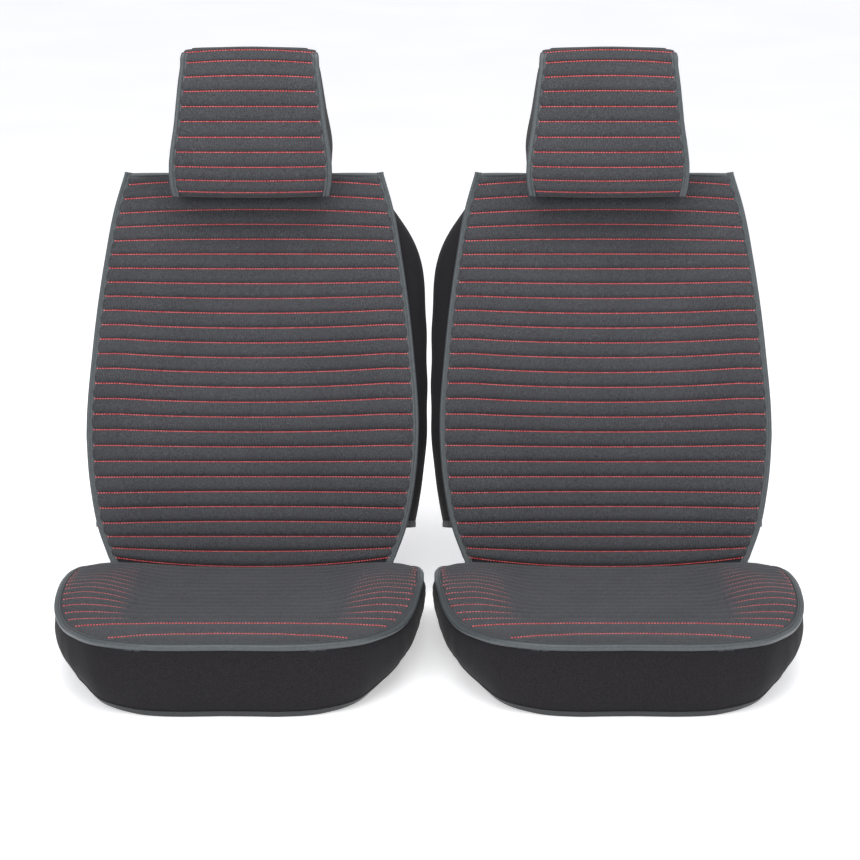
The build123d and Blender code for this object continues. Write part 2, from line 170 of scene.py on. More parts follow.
def sweep(path, inward, outward, profile):
    """Closed strip along path; profile is (inward, outward) pairs in order round the section."""
    profile = np.array(profile, float)
    rings = path[:, None] + inward[:, None] * profile[None, :, :1] + outward[:, None] * profile[None, :, 1:]
    rows, cols = rings.shape[:2]
    faces = [list(f) for f in quads(rows, cols, True)]
    faces.append(list(range(cols))[::-1])
    faces.append(list(range((rows - 1) * cols, rows * cols)))
    return rings.reshape(-1, 3), faces


def stitches(points, along, outward, long, thick):
    """Thread stitches, each a short round bar whose ends dip into the cloth."""
    sideways = unit(np.cross(outward, along))
    ends = np.array([-0.5, -0.28, 0.28, 0.5]) * long
    radii = np.array([0.35, 1.0, 1.0, 0.35]) * thick / 2
    dips = np.array([-0.45, 0.1, 0.1, -0.45]) * thick
    rings = []
    for end, radius, dip in zip(ends, radii, dips):
        for corner in range(4):
            turn = math.pi / 4 + corner * math.pi / 2
            rings.append(points + along * end + outward * (dip + radius * math.sin(turn))
                         + sideways * radius * 1.15 * math.cos(turn))
    verts = np.stack(rings, 1)
    faces = quads(4, 4, True)
    caps = np.array([[3, 2, 1, 0], [12, 13, 14, 15]])
    one = np.concatenate([faces, caps])
    count = len(points)
    every = one[None] + (np.arange(count) * 16)[:, None, None]
    return verts.reshape(-1, 3), every.reshape(-1, 4)


def spaced(line, pitch, start=0.5):
    """Evenly spaced points along a line, with their directions."""
    length = run_length(line)
    at = np.arange(start * pitch, length[-1], pitch)
    points = np.stack([np.interp(at, length, line[:, k]) for k in range(3)], 1)
    ahead = np.stack([np.interp(at + 1.0, length, line[:, k]) for k in range(3)], 1)
    behind = np.stack([np.interp(at - 1.0, length, line[:, k]) for k in range(3)], 1)
    return points, unit(ahead - behind)


def joined(parts):
    verts, faces, start = [], [], 0
    for v, f in parts:
        verts.append(v)
        faces += [[int(i) + start for i in face] for face in f]
        start += len(v)
    return np.concatenate(verts), faces


def build(name, part, material, body, *nodes):
    """The left piece and its mirror image, riding on their bodies; returns both."""
    verts, faces = part
    pair = []
    for side, sign in SIDES:
        co = verts * MM
        if sign < 0:
            co = co + np.array([-SEAT_X * MM, 0, 0])
        else:
            co = co * np.array([-1.0, 1, 1]) + np.array([SEAT_X * MM, 0, 0])
        order = faces if sign < 0 else [list(f)[::-1] for f in faces]
        mesh = bpy.data.meshes.new(f"{side}_{name}")
        mesh.from_pydata(co.tolist(), [], [list(map(int, f)) for f in order])
        whole = bmesh.new()
        whole.from_mesh(mesh)
        bmesh.ops.recalc_face_normals(whole, faces=whole.faces[:])
        whole.to_mesh(mesh)
        whole.free()
        mesh.shade_smooth()
        mesh.materials.append(material)
        piece = bpy.data.objects.new(f"{side}_{name}", mesh)
        bpy.context.scene.collection.objects.link(piece)
        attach(piece, f"{side}_{body}")
        if nodes:
            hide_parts(*[f"{side}_{n}" for n in nodes])
        pair.append(piece)
    return pair


# Materials --------------------------------------------------------------------------------


def new_material(name, base, rough, sheen, specular):
    material = bpy.data.materials.new(name)
    material.use_nodes = True
    shader = material.node_tree.nodes["Principled BSDF"]
    shader.inputs["Base Color"].default_value = (*base, 1)
    shader.inputs["Roughness"].default_value = rough
    shader.inputs["Specular IOR Level"].default_value = specular
    shader.inputs["Sheen Weight"].default_value = sheen
    shader.inputs["Sheen Roughness"].default_value = 0.45
    return material, material.node_tree, shader


def add_node(tree, kind, **values):
    node = tree.nodes.new(kind)
    for key, value in values.items():
        setattr(node, key, value)
    return node


def noise_at(tree, scale, detail=2.0):
    """Noise in the object's own space, in metres."""
    place = add_node(tree, "ShaderNodeTexCoord")
    noise = add_node(tree, "ShaderNodeTexNoise")
    noise.inputs["Scale"].default_value = scale
    noise.inputs["Detail"].default_value = detail
    tree.links.new(place.outputs["Object"], noise.inputs["Vector"])
    return noise.outputs["Fac"]


def mixed(tree, factor, low, high, first, second):
    """Colour between two, by factor from low to high."""
    ramp = add_node(tree, "ShaderNodeValToRGB")
    ramp.color_ramp.elements[0].position, ramp.color_ramp.elements[1].position = low, high
    ramp.color_ramp.elements[0].color = (*first, 1)
    ramp.color_ramp.elements[1].color = (*second, 1)
    tree.links.new(factor, ramp.inputs["Fac"])
    return ramp.outputs["Color"]


def bump(tree, shader, height, strength, distance, under=None):
    node = add_node(tree, "ShaderNodeBump")
    node.inputs["Strength"].default_value = strength
    node.inputs["Distance"].default_value = distance
    tree.links.new(height, node.inputs["Height"])
    if under is not None:
        tree.links.new(under, node.inputs["Normal"])
    tree.links.new(node.outputs["Normal"], shader.inputs["Normal"])
    return node.outputs["Normal"]


def thread_bands(tree, pitch, direction):
    """Bands of one set of threads, pitch metres apart."""
    place = add_node(tree, "ShaderNodeTexCoord")
    wave = add_node(tree, "ShaderNodeTexWave", wave_type="BANDS", bands_direction=direction)
    wave.inputs["Scale"].default_value = 0.314 / pitch
    wave.inputs["Distortion"].default_value = 0.6
    tree.links.new(place.outputs["Object"], wave.inputs["Vector"])
    return wave.outputs["Fac"]


def woven(tree, pitch, other="Z"):
    """Height of a plain weave: threads across X and across the other direction."""
    multiply = add_node(tree, "ShaderNodeMath", operation="MULTIPLY")
    tree.links.new(thread_bands(tree, pitch, "X"), multiply.inputs[0])
    tree.links.new(thread_bands(tree, pitch, other), multiply.inputs[1])
    return multiply.outputs["Value"]


def face_cloth():
    material, tree, shader = new_material("quilted_cloth", (0.04, 0.04, 0.044), 0.9, 0.08, 0.15)
    fleck = mixed(tree, noise_at(tree, 620, 3), 0.33, 0.70, (0.028, 0.0285, 0.032), (0.084, 0.0855, 0.093))
    blotch = mixed(tree, noise_at(tree, 9, 2), 0.3, 0.75, (0.86, 0.86, 0.86), (1.0, 1.0, 1.0))
    tint = add_node(tree, "ShaderNodeMix", data_type="RGBA", blend_type="MULTIPLY")
    tint.inputs[0].default_value = 1.0
    tree.links.new(fleck, tint.inputs[6])
    tree.links.new(blotch, tint.inputs[7])
    tree.links.new(tint.outputs[2], shader.inputs["Base Color"])
    weave = bump(tree, shader, woven(tree, 0.0011), 0.35, 0.0003)
    bump(tree, shader, noise_at(tree, 380, 3), 0.3, 0.0005, weave)
    return material


def leatherette(name, base, light):
    material, tree, shader = new_material(name, base, 0.42, 0.0, 0.5)
    colour = mixed(tree, noise_at(tree, 240, 2), 0.3, 0.75, base, light)
    tree.links.new(colour, shader.inputs["Base Color"])
    grain = add_node(tree, "ShaderNodeTexVoronoi", feature="DISTANCE_TO_EDGE")
    grain.inputs["Scale"].default_value = 850
    place = add_node(tree, "ShaderNodeTexCoord")
    tree.links.new(place.outputs["Object"], grain.inputs["Vector"])
    first = bump(tree, shader, grain.outputs["Distance"], 0.25, 0.0004)
    bump(tree, shader, noise_at(tree, 60, 3), 0.25, 0.0012, first)
    return material


def jersey(name, dark, light):
    material, tree, shader = new_material(name, dark, 0.92, 0.06, 0.12)
    colour = mixed(tree, noise_at(tree, 700, 3), 0.35, 0.7, dark, light)
    tree.links.new(colour, shader.inputs["Base Color"])
    knit = bump(tree, shader, woven(tree, 0.0009), 0.3, 0.00025)
    bump(tree, shader, noise_at(tree, 45, 3), 0.25, 0.0015, knit)
    return material


def ribbed(name, dark, light, pitch, rough=0.75):
    """Woven band: elastic, webbing or tape, with ribs across it."""
    material, tree, shader = new_material(name, dark, rough, 0.2, 0.3)
    colour = mixed(tree, noise_at(tree, 500, 2), 0.3, 0.7, dark, light)
    tree.links.new(colour, shader.inputs["Base Color"])
    bump(tree, shader, woven(tree, pitch, "Y"), 0.6, 0.0005)
    return material


def thread(name, dark, light):
    material, tree, shader = new_material(name, dark, 0.55, 0.25, 0.4)
    colour = mixed(tree, noise_at(tree, 330, 1), 0.35, 0.65, dark, light)
    tree.links.new(colour, shader.inputs["Base Color"])
    bump(tree, shader, noise_at(tree, 1500, 1), 0.4, 0.0002)
    return material


def moulded():
    material, tree, shader = new_material("moulded_plastic", (0.018, 0.018, 0.02), 0.42, 0.0, 0.5)
    colour = mixed(tree, noise_at(tree, 90, 3), 0.3, 0.7, (0.015, 0.015, 0.017), (0.026, 0.026, 0.028))
    tree.links.new(colour, shader.inputs["Base Color"])
    bump(tree, shader, noise_at(tree, 1300, 2), 0.25, 0.0002)
    return material


def fuzzy(name, dark, light):
    material, tree, shader = new_material(name, dark, 0.95, 0.5, 0.15)
    colour = mixed(tree, noise_at(tree, 1100, 3), 0.35, 0.7, dark, light)
    tree.links.new(colour, shader.inputs["Base Color"])
    bump(tree, shader, noise_at(tree, 1400, 3), 0.8, 0.0009)
    return material


def dotted(name, dark, light):
    """Anti-slip cloth with rows of rubber dots."""
    material, tree, shader = new_material(name, dark, 0.8, 0.1, 0.35)
    place = add_node(tree, "ShaderNodeTexCoord")
    dots = add_node(tree, "ShaderNodeTexVoronoi", feature="F1")
    dots.inputs["Scale"].default_value = 220
    dots.inputs["Randomness"].default_value = 0.0
    tree.links.new(place.outputs["Object"], dots.inputs["Vector"])
    colour = mixed(tree, dots.outputs["Distance"], 0.25, 0.32, light, dark)
    tree.links.new(colour, shader.inputs["Base Color"])
    height = mixed(tree, dots.outputs["Distance"], 0.2, 0.4, (1, 1, 1), (0, 0, 0))
    bump(tree, shader, height, 0.8, 0.0008)
    return material


CLOTH = face_cloth()
PIPING = leatherette("piping_leatherette", (0.044, 0.052, 0.057), (0.064, 0.075, 0.081))
# The hem band is the same leatherette as the piping. This copy is made about three times darker as painted
# shade for the low edge of the skirt.
HEM_LEATHERETTE_SHADED = leatherette("hem_leatherette_painted_shade", (0.016, 0.0175, 0.019), (0.026, 0.028, 0.030))
JERSEY = jersey("stretch_jersey", (0.0105, 0.0098, 0.011), (0.024, 0.0222, 0.0247))
PLAIN = jersey("plain_cloth", (0.026, 0.0265, 0.030), (0.056, 0.057, 0.062))
ELASTIC = ribbed("elastic_band", (0.016, 0.015, 0.017), (0.032, 0.031, 0.033), 0.0016)
WEBBING = ribbed("webbing_band", (0.014, 0.014, 0.015), (0.030, 0.030, 0.032), 0.0021, 0.6)
TAPE = fuzzy("closure_tape", (0.012, 0.012, 0.013), (0.03, 0.03, 0.032))
GRIP = dotted("grip_cloth", (0.045, 0.045, 0.047), (0.012, 0.012, 0.013))
RED = thread("red_thread", (0.76, 0.026, 0.034), (1.0, 0.20, 0.20))
BLACK = thread("black_thread", (0.010, 0.011, 0.012), (0.022, 0.023, 0.025))
PLASTIC = moulded()


# Back cover -------------------------------------------------------------------------------

BACK_ROWS = (0, 46, 108, 195, 340, 492, 575, 632)
BACK_HALF = (232, 249, 262, 270, 262, 243, 228, 212)
ARCH_ROWS = (-12.7, 11.7, 40, 90, 130, 205, 280, 350, 400, 475, 550, 632)
ARCH = (12.0, 4.2, -0.8, -2.3, -1.0, 2.6, 5.0, 4.5, 3.3, 0.0, -4.5, -8.0)
FIRST_LINE = 11.7
PUFF_AT = (0.0, 0.035, 0.10, 0.22, 0.40, 0.62, 0.82, 0.93, 1.0)
PUFF = (-1.3, 0.7, 2.1, 3.2, 3.5, 2.6, 1.1, 0.2, -1.3)
PUFF_STEPS = np.array(PUFF_AT[:-1])  # rows of a channel, closer together at its seams


def back_line(s, x):
    """Height up the panel of quilting line s, which may lie between two lines."""
    flat = FIRST_LINE + PITCH * s
    return flat + curve(flat, ARCH_ROWS, ARCH) * (np.minimum(np.abs(x), 222) / 203) ** 2.2


def back_contour(x, v):
    """How far the panel's face lies behind a flat one: hollow in the middle, full at the sides."""
    hollow = 7.0 * np.clip(1 - (x / 185) ** 2, 0, 1) ** 1.6 * ease(v, 20, 160) * (1 - ease(v, 380, 600))
    side = 3.5 * np.exp(-(((np.abs(x) - 208) / 26) ** 2)) * ease(v, 0, 120) * (1 - ease(v, 430, 620))
    return hollow - side


def back_face(x, s, lift=0.0, height=None):
    v = back_line(s, x)
    t = s - np.floor(s)
    puff = curve(t, PUFF_AT, PUFF) if height is None else height
    edge = curve(v, BACK_ROWS, BACK_HALF) - np.abs(x)
    puff = puff * ease(edge, 4, 26) ** 0.6 + 0.45 * waves(x, v, 6, 3, 40, 110) * ease(edge, 8, 40)
    return back_point(x, v, back_contour(x, v) - puff - lift)


def back_pad():
    s = np.concatenate([i + PUFF_STEPS for i in range(-1, 25)] + [[25.0, 25.05, 25.2, 25.38]])
    u = np.sin(np.linspace(-1, 1, 97) * 1.35) / math.sin(1.35)
    flat = FIRST_LINE + PITCH * s
    half = curve(flat, BACK_ROWS, BACK_HALF) - 3.0
    x = u[None] * half[:, None]
    front = back_face(x, s[:, None])
    v = back_line(s[:, None], x)
    behind = back_point(x, v, PAD_THICK + 0.3 + 0 * x)
    return front, behind


front, behind = back_pad()
pads = build("back_face", slab(front[::-1], behind[::-1]), CLOTH, "back_cover", "back_pad")

TOWARDS = np.array([0.0, -math.cos(RECLINE), math.sin(RECLINE)])
UP_BACK = np.array([0.0, math.sin(RECLINE), math.cos(RECLINE)])
rows = []
for i in range(-1, 26):
    reach = float(curve(FIRST_LINE + PITCH * i, BACK_ROWS, BACK_HALF)) - 9.0
    x = np.linspace(-reach, reach, 400)
    line = back_face(x, np.full(400, i - 0.05), 0.1, np.full(400, -0.2))
    points, along = spaced(line, STITCH, 0.3 + 0.4 * rng.random())
    rows.append(stitches(points, along, spread(TOWARDS, points), RED_LONG, RED_THICK))
build("back_stitching", joined(rows), RED, "back_cover")

# Strip profiles: inward from the outer edge, and outward from the surface
ROLL = ((11.3, -0.6), (11.0, 0.7), (9.5, 1.2), (7.0, 1.1), (5.6, 1.3), (4.6, 2.2), (3.2, 3.1), (1.5, 3.2),
        (0.2, 2.5), (-0.7, 1.0), (-0.9, -1.2), (-0.8, -4.5), (-0.7, -8.0), (0.2, -11.0), (3.0, -11.8),
        (8.0, -11.5), (8.2, -10.4), (5.5, -9.8), (5.5, -1.5), (8.0, -1.0))


def back_side_path(low, high, count):
    v = np.linspace(low, high, count)
    half = curve(v, BACK_ROWS, BACK_HALF)
    half = np.where(v < 0, BACK_HALF[0] + v * 0.42, half)
    return half, v


def strip_frame(path, outward):
    """Inward direction at each point of a strip, square to its run and to the surface."""
    along = unit(np.gradient(path, axis=0))
    return unit(np.cross(outward, along))


def edge_strip(path, outward, ripple, seed):
    """Rolled strip along path, its height rippled a little as sewn leatherette is."""
    length = run_length(path)
    shake = ripple * waves(length, 0 * length, 5, seed, 9, 60)
    return sweep(path + outward * shake[:, None], strip_frame(path, outward), outward, ROLL)


half, v = back_side_path(-16, 634, 190)
outer = np.broadcast_to(TOWARDS, (190, 3))
ruffle = ease(-v, -4, 14) * 1.5
side_path = back_point(half + 0 * v, v, back_contour(half - 6, v) * 0.6 + 0.4)
side_path[:, 0] += ruffle * np.sin(v / 2.1)
left_path = side_path * np.array([-1.0, 1, 1])
top_x = np.linspace(205, -205, 120)
top_v = BACK_HIGH - 0.4 * (top_x / 205) ** 2 + 1.2 * waves(top_x, 0 * top_x, 3, 4, 90, 260)
top_path = back_point(top_x, top_v, 1.4)
bindings = [edge_strip(side_path, outer, 0.35, 11), edge_strip(left_path[::-1], outer, 0.35, 12),
            edge_strip(top_path, outer[:120], 0.3, 13)]
build("back_piping", joined(bindings), PIPING, "back_cover", "back_binding")

locks = []
for path in (side_path, left_path[::-1], top_path):
    inward = strip_frame(path, spread(TOWARDS, path))
    points, along = spaced(path + inward * 8.6, LOCK_PITCH)
    locks.append(stitches(points + TOWARDS * 1.15, along, spread(TOWARDS, points), LOCK_LONG, LOCK_THICK))
build("back_lock_stitches", joined(locks), BLACK, "back_cover")


# Stretch sides of the back ----------------------------------------------------------------

SOCK_DEPTHS = (9.5, 45, 95, 104, 114, 126)
GROW = (-3, 1, -1, -4, -10, -40)
TRIM = (4, -6, 0, 6, 14, 46)
ROUND = (0, 40, 52, 56, 60, 70)
BULGE = (0, 1, 0.9, 0.8, 0.6, 0)
INNER_BULGE = (8, 9, 9, 10, 18, 28, 28, 20)
OUTER_BULGE = (6, 6, 6, 6, 6, 6, 4, 2)
INNER, OUTER = 1.0, -1.0
SHOULDER = 598.0
EDGE_TURN = 20.0  # the cloth turns down over the shoulders this far in


def sock_half(v, depth, side=INNER):
    """Half width of the stretch cover at a height and a depth, on its inner or outer side."""
    grow, off, share = (curve(depth, SOCK_DEPTHS, k) for k in (GROW, ROUND, BULGE))
    bulges = curve(v, BACK_ROWS, INNER_BULGE), curve(v, BACK_ROWS, OUTER_BULGE)
    bulge = np.where(np.asarray(side) > 0, *bulges)
    return curve(v, BACK_ROWS, BACK_HALF) + grow + share * bulge - off * ease(v, 470, 632) ** 1.4


def sock_top(depth):
    return BACK_HIGH - curve(depth, SOCK_DEPTHS, TRIM)


def gusset(side):
    v, depth = np.meshgrid(np.linspace(60, 600, 90), np.linspace(9.5, 104, 22), indexing="ij")
    x = sock_half(v, depth, side)
    soft = ease(depth, 9.5, 30) * (1 - 0.4 * ease(depth, 70, 104))
    folds = 1.6 * waves(v, depth * 1.6, 6, 21, 60, 190) + 0.8 * waves(v * 0.25, depth, 4, 22, 14, 34)
    x = x + soft * folds
    return back_point(x, v, depth)


inner = build("back_gusset_cloth_inner", sheet_skin(gusset(INNER), JERSEY_THICK), JERSEY, "back_cover",
              "back_gusset_inner")
p = gusset(OUTER)[:, ::-1] * np.array([-1.0, 1, 1])
outer_side = build("back_gusset_cloth_outer", sheet_skin(p, JERSEY_THICK), JERSEY, "back_cover",
                   "back_gusset_outer")


def top_panel():
    """Cloth over the shoulders and the top, from the face's edge to the rear panel."""
    run = np.linspace(-1, 1, 121)
    depth = np.linspace(9.5, 104, 22)
    r, d = np.meshgrid(run, depth, indexing="ij")
    top, low = sock_top(d), SHOULDER
    half = sock_half(low, d, r)
    flat_part = 0.86
    turn = np.clip((np.abs(r) - flat_part) / (1 - flat_part), 0, 1)
    flat_half = half - EDGE_TURN
    turned = np.sign(r) * (flat_half + EDGE_TURN * np.sin(turn * math.pi / 2))
    x = np.where(np.abs(r) < flat_part, r / flat_part * flat_half, turned)
    v = top - (top - low) * (1 - np.cos(turn * math.pi / 2))
    v = v + 1.2 * waves(x, d, 5, 31, 50, 150) * ease(d, 12, 40)
    return back_point(x, v, d)


POST_X, POST_Y = 68.0, BITE_Y + 260.0
p = top_panel()[:, ::-1]
middle = (p[:-1, :-1] + p[1:, 1:]).reshape(-1, 3) / 2
over_slot = (np.abs(np.abs(middle[:, 0]) - POST_X) < 7.6) & (np.abs(middle[:, 1] - POST_Y) < 14.6)
tops = build("back_top_cloth", sheet_skin(p, JERSEY_THICK, keep=~over_slot), JERSEY, "back_cover",
             "back_top_panel")


def slot_ring(sign):
    """Bound edge of a headrest post slot, on the top panel."""
    turn = np.linspace(0, 2 * math.pi, 48, endpoint=False)
    x = sign * POST_X + 8.2 * np.cos(turn)
    y = POST_Y + 8.0 * np.sin(turn) + 7.0 * np.sign(np.sin(turn))
    depth = (y - BACK_FOOT[0] - (BACK_HIGH + 4) * math.sin(RECLINE)) / math.cos(RECLINE)
    z = back_point(x, sock_top(depth), depth)[:, 2]
    line = np.stack([x, y, z + 0.3], -1)
    along = unit(np.roll(line, -1, 0) - np.roll(line, 1, 0))
    up = np.array([0, 0, 1.0])
    side = unit(np.cross(up, along))
    turns = np.linspace(0, 2 * math.pi, 8, endpoint=False)
    rings = (line[:, None] + side[:, None] * (1.9 * np.cos(turns))[None, :, None]
             + up * (1.5 * np.sin(turns))[None, :, None])
    faces = quads(49, 8, True)
    return rings.reshape(-1, 3), faces % (48 * 8)


build("post_slot_edges", joined([slot_ring(-1), slot_ring(1)]), ELASTIC, "back_cover")


def rear_panel():
    rows = np.linspace(60, float(sock_top(104)) - 0.5, 80)
    u = np.linspace(-1, 1, 91)
    v, u = np.meshgrid(rows, u, indexing="ij")
    above = np.clip((sock_top(104) - v) / (sock_top(104) - SHOULDER), 0, 1)
    half = sock_half(np.minimum(v, SHOULDER), 104.0, u) - EDGE_TURN * (1 - np.sin(np.arccos(1 - above)))
    x = u * half
    edge = np.minimum(half - np.abs(x), (sock_top(104) - v) * 0.9)
    rise = np.sqrt(np.clip(1 - (1 - np.clip(edge / 46, 0, 1)) ** 2, 0, 1))
    depth = 104 + 23.2 * rise + 1.0 * waves(x, v, 6, 41, 90, 240) * ease(edge, 10, 60)
    return back_point(x, v, np.minimum(depth, 127.8))


p = rear_panel()
rears = build("back_rear_cloth", sheet_skin(p[:, ::-1], JERSEY_THICK), JERSEY, "back_cover",
              "back_rear_panel")

BAND = ((0.9, -5.0), (1.5, -3.6), (1.7, 0.0), (1.5, 3.6), (0.9, 5.0), (-1.6, 5.0), (-2.4, 3.6), (-2.6, 0.0),
        (-2.4, -3.6), (-1.6, -5.0))


def band(path, out, up, ripple, seed, profile=BAND):
    """Elastic band along path; profile is (out, up) pairs, and ripple gathers it."""
    length = run_length(path)
    shake = ripple * waves(length, 0 * length, 4, seed, 7, 16)
    return sweep(path + out * shake[:, None], out, up, profile)


def hem_half(side):
    """Half of the hem's loop, from behind the pad round to the middle of the rear."""
    side_d = np.linspace(11, 100, 50)
    flank = np.stack([sock_half(57.0, side_d, side), side_d], 1)
    corner_x = float(sock_half(57.0, 104.0, side))
    turn = np.linspace(0, math.pi / 2, 16)
    corner = np.stack([corner_x - 46 + 46 * np.sin(turn + math.pi / 2), 104 + 23.2 * np.sin(turn)], 1)
    rear = np.stack([np.linspace(corner_x - 60, 4, 60), np.full(60, 127.2)], 1)
    return np.concatenate([flank, corner, rear]) * np.array([side, 1])


def back_hem():
    loop = np.concatenate([hem_half(INNER), hem_half(OUTER)[::-1]])
    path = back_point(loop[:, 0], 57.0 + 0 * loop[:, 0], loop[:, 1])
    up = spread(UP_BACK, path)
    return band(path, unit(np.cross(unit(np.gradient(path, axis=0)), up)), up, 0.5, 51)


build("back_hem_band", back_hem(), ELASTIC, "back_cover", "back_hem")


def pocket():
    v, x = np.meshgrid(np.linspace(200, 420, 56), np.linspace(-150, 150, 76), indexing="ij")
    edge = np.minimum(150 - np.abs(x), (v - 200))
    fat = np.sqrt(np.clip(1 - (1 - np.clip(edge / 16, 0, 1)) ** 2, 0, 1))
    depth = 129.6 + 10.0 * fat - 2.2 * ease(np.abs(x), 40, 150) + 0.9 * waves(x, v, 6, 61, 40, 140) * fat
    sag = -4.0 * ease(v, 330, 420) * (1 - (x / 150) ** 2)
    return back_point(x, v + sag, depth)


p = pocket()
pockets = build("back_pocket_cloth", sheet_skin(p[:, ::-1], JERSEY_THICK), JERSEY, "back_cover",
                "back_pocket")
rim = p[-1]
rim_path = rim + back_point(0, 1.0, 0.4) - back_point(0, 0, 0)
away = np.broadcast_to(back_point(0, 0, 1.0) - back_point(0, 0, 0), rim_path.shape)
small = tuple((a * 0.7, b * 0.8) for a, b in BAND)
rim_band = build("back_pocket_band", band(rim_path, away, spread(UP_BACK, rim_path), 0.5, 62, small),
                 ELASTIC, "back_cover", "back_pocket_binding")


def rounded_path(points, radius, step=4.0):
    """Straight runs with rounded corners, sampled evenly."""
    points = np.array(points, float)
    out = [points[0]]
    for before, corner, after in zip(points, points[1:], points[2:]):
        a, b = before - corner, after - corner
        cut = min(radius, np.linalg.norm(a) * 0.45, np.linalg.norm(b) * 0.45)
        start, end = corner + unit(a) * cut, corner + unit(b) * cut
        for t in np.linspace(0, 1, 7):
            out.append((1 - t) ** 2 * start + 2 * t * (1 - t) * corner + t**2 * end)
    out.append(points[-1])
    out = np.array(out)
    length = run_length(out)
    at = np.linspace(0, length[-1], max(3, int(length[-1] / step)))
    return np.stack([np.interp(at, length, out[:, k]) for k in range(out.shape[1])], 1)


def tuck_flap():
    side = rounded_path([(5.5, 6.0), (4.0, -4.0), (4.5, -14.0), (22.0, -22.5), (104.0, -22.5), (132.3, 6.0),
                         (132.3, 94.0)], 9)
    x = np.linspace(-1, 1, 91)
    run, u = np.meshgrid(np.arange(len(side)), x, indexing="ij")
    depth, v = side[run, 0], side[run, 1]
    half = 222 - 10 * ease(run, 4, 18)
    xx = u * half
    lift = ease(-v, -4, 12) * (1 - ease(depth, 100, 130))
    ends = 2.0 * np.exp(-((np.abs(u) - 0.96) / 0.05) ** 2) * np.sin(xx / 5.0)
    fold = (1.5 * waves(xx, run * 3.0, 7, 71, 26, 90) + ends) * lift
    return back_point(xx, v + fold * 0.5, depth - fold * 0.6)


p = tuck_flap()
flaps = build("back_tuck_cloth", sheet_skin(p[:, ::-1], PLAIN_THICK), PLAIN, "back_cover", "back_tuck_flap")

FLAT = ((-12.3, -0.8), (-12.5, 0.0), (-12.3, 0.8), (-6.0, 0.95), (0.0, 1.0), (6.0, 0.95), (12.3, 0.8),
        (12.5, 0.0), (12.3, -0.8), (6.0, -0.75), (0.0, -0.7), (-6.0, -0.75))


def ribbon(path, wide_way, thick_way, profile=FLAT):
    """Flat woven strap along path, 25 mm wide."""
    return sweep(path, wide_way, thick_way, profile)


REARWARDS = np.array([0.0, math.cos(RECLINE), -math.sin(RECLINE)])
tapes = []
for depth in (128.9, 130.45):
    x = np.linspace(-142, 142, 60)
    path = back_point(x, 82.0 + 0 * x, depth)
    tapes.append(ribbon(path, spread(UP_BACK, path), spread(REARWARDS, path),
                        tuple((a * 0.96, b * 0.75) for a, b in FLAT)))
build("back_closure_tapes", joined(tapes), TAPE, "back_cover", "back_closure_tape")


# Cushion cover ----------------------------------------------------------------------------

PLAN = ((238, -14), (265, -34), (276, -80), (279, -150), (275, -240), (263, -335), (249, -378), (229, -416),
        (194, -460), (146, -483), (0, -492))


def plan_curve():
    """Dense outline of the cushion from its right rear corner round the nose to the left one."""
    half = np.array(PLAN, float)
    every = np.concatenate([half, half[-2::-1] * np.array([-1.0, 1.0])])
    length = run_length(every)
    at = np.linspace(0, length[-1], 1200)
    return np.stack([curve(at, length, every[:, 0]), curve(at, length, every[:, 1])], 1)


OUTLINE = plan_curve()
OUT_TURN = np.arctan2(OUTLINE[:, 1] - CUSHION_REAR, OUTLINE[:, 0])
OUT_TURN[OUT_TURN > 1.0] -= 2 * math.pi
OUT_RADIUS = np.hypot(OUTLINE[:, 0], OUTLINE[:, 1] - CUSHION_REAR)


def plan_share(x, y):
    """1 on the outline, 0 at the middle of the rear edge."""
    turn = np.arctan2(np.minimum(y - CUSHION_REAR, -1e-3), x)
    return np.hypot(x, y - CUSHION_REAR) / np.interp(-turn, -OUT_TURN, OUT_RADIUS)


def plan_half(y):
    """Half width of the outline at y."""
    side = OUTLINE[:600]
    return np.interp(-y, -side[:, 1], side[:, 0])


LIFT_AT = (-440, -390, -350, -320, -290, -250, -200, -150, -100, -50, -14)
LIFT = (0.0, 0.0, 4.5, 10.0, 14.5, 18.0, 18.0, 16.0, 12.5, 7.0, 1.0)


def cushion_lift(x, y):
    """Side bolsters stand above the tilted plane, and the middle sinks a little under it."""
    bolster = curve(y, LIFT_AT, LIFT) * ease(np.abs(x), 120, 232)
    sink = (7.5 - 2 * ease(-y, 20, 160)) * (1 - ease(-y, 250, 390)) * (1 - ease(np.abs(x), 90, 225))
    return bolster - sink


def cushion_top(x, y):
    """Drop of the cushion's surface under the tilted plane."""
    shares, drops = (0.0, 0.80, 0.89, 0.95, 0.98, 1.0, 1.1), (0, 0, 1.6, 3.4, 5.6, 10.0, 40.0)
    drop = curve(plan_share(x, y), shares, drops)
    return drop - cushion_lift(x, y)


CUSHION_LINES = np.array([-440.0, -389.0] + [-389.0 + PITCH * k for k in range(1, 16)])
SEAT_PUFF = (-1.1, 0.5, 1.5, 2.2, 2.5, 1.9, 0.9, 0.2, -1.1)


def cushion_line(s, x):
    """Y of quilting line s, counted from the nose."""
    y = np.interp(s, np.arange(len(CUSHION_LINES)), CUSHION_LINES)
    y = np.where(s < 0, CUSHION_LINES[0] + s * 45.0, y)
    y = np.where(s > 16, CUSHION_LINES[-1] + (s - 16) * 9.0, y)
    return y - 5.0 * (1 - ease(s, 0.2, 1.2)) * (np.abs(x) / 100) ** 2 * ease(s, -1.0, -0.1)


def inside_plan(x, y):
    """Points beyond the outline drawn in to it."""
    share = np.minimum(1, 0.985 / np.maximum(plan_share(x, y), 1e-6))
    return x * share, CUSHION_REAR + (y - CUSHION_REAR) * share


